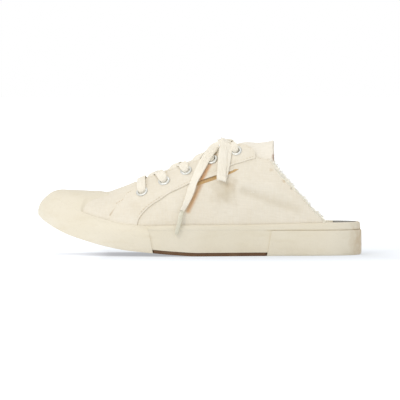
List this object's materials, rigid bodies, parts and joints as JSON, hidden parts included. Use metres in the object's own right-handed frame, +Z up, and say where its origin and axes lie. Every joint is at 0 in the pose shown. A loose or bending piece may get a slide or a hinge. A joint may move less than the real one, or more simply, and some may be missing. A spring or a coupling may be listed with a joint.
{
  "type": "shoe",
  "caption": "Slip-on canvas sneaker mule: rubber cup sole with a toe bumper and toe cap, laced eyelet panels over a tongue, and an open back cut off behind the instep",
  "frame": {"origin": "the middle of the sole's footprint, on the floor; the laces that hang free are left out of the box", "axes": "+X towards the heel, -Y the outer (lateral) side, +Z up"},
  "size_m": [0.304, 0.1077, 0.1087],
  "materials": {
    "canvas": "natural cotton canvas, matt",
    "rubber": "cream rubber, satin",
    "brown_rubber": "brown gum rubber, matt",
    "sock": "cotton drill over foam, matt",
    "heel_pad": "dark grey felt, matt",
    "nickel": "nickel-plated, dull",
    "lace": "flat woven cotton, matt",
    "aglet": "clear film over the lace"
  },
  "bodies": {
    "root": {"outsole": "brown_rubber", "midsole": "rubber", "toe_foxing": "rubber", "heel_foxing": "rubber", "insole": "sock", "heel_pad": "heel_pad", "upper": "canvas", "toe_cap": "rubber", "eyestay_lateral": "canvas", "eyestay_medial": "canvas", "tongue": "canvas", "eyelet_lateral_1": "nickel", "eyelet_lateral_2": "nickel", "eyelet_lateral_3": "nickel", "eyelet_lateral_4": "nickel", "eyelet_lateral_5": "nickel", "eyelet_medial_1": "nickel", "eyelet_medial_2": "nickel", "eyelet_medial_3": "nickel", "eyelet_medial_4": "nickel", "eyelet_medial_5": "nickel", "lace_bar": "lace", "lace_cross_1": "lace", "lace_cross_2": "lace", "lace_cross_3": "lace", "lace_cross_4": "lace", "lace_knot": "lace", "lace_loop_lateral": "lace", "lace_loop_medial": "lace", "lace_end_lateral": "lace", "lace_end_medial": "lace", "aglet_lateral": "aglet", "aglet_medial": "aglet"}
  },
  "joints": []
}
